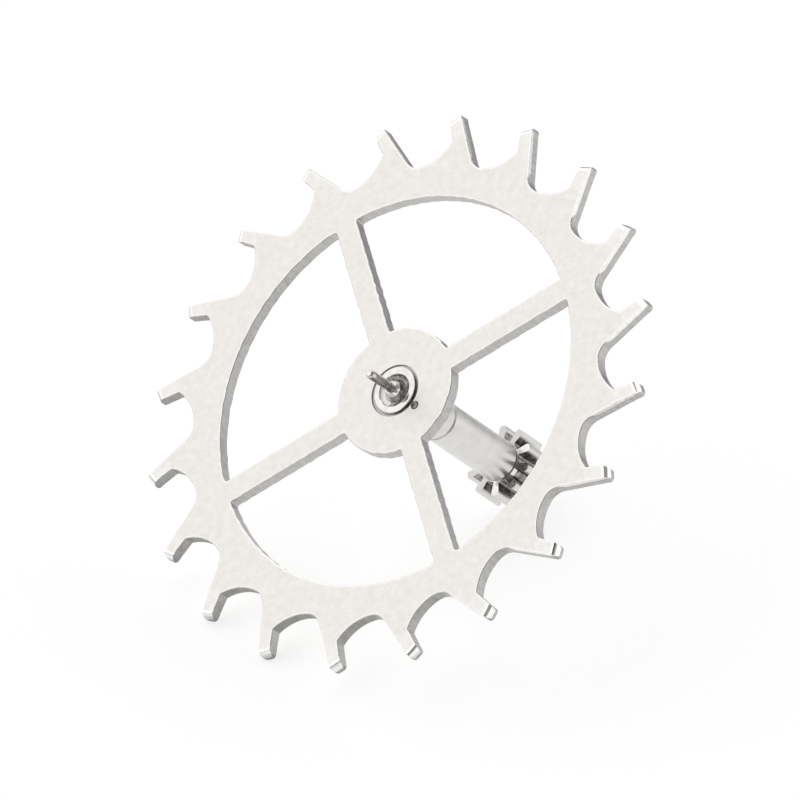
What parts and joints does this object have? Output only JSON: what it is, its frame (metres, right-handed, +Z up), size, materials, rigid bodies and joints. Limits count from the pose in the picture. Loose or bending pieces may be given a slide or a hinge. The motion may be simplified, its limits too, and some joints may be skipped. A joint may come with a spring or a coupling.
{
  "type": "escape wheel",
  "caption": "Club-toothed lever escape wheel riveted to a slim arbor with a leaved pinion and a fine pivot at each end; passes the train's power to the pallet fork tooth by tooth",
  "frame": {"origin": "centre of the lower pivot's end, on the arbor's axis", "axes": "+Z runs up the arbor from the pinion to the wheel's front; +X and +Y run along two of the wheel's spokes"},
  "size_m": [0.0048, 0.0048, 0.0026],
  "materials": {
    "wheel_steel": "hardened steel, fine matt lapped faces and polished tooth ends",
    "pinion_steel": "hardened steel, satin turned arbor, polished leaves and pivots"
  },
  "bodies": {
    "root": {"escape_wheel": "wheel_steel", "escape_pinion": "pinion_steel"}
  },
  "joints": []
}
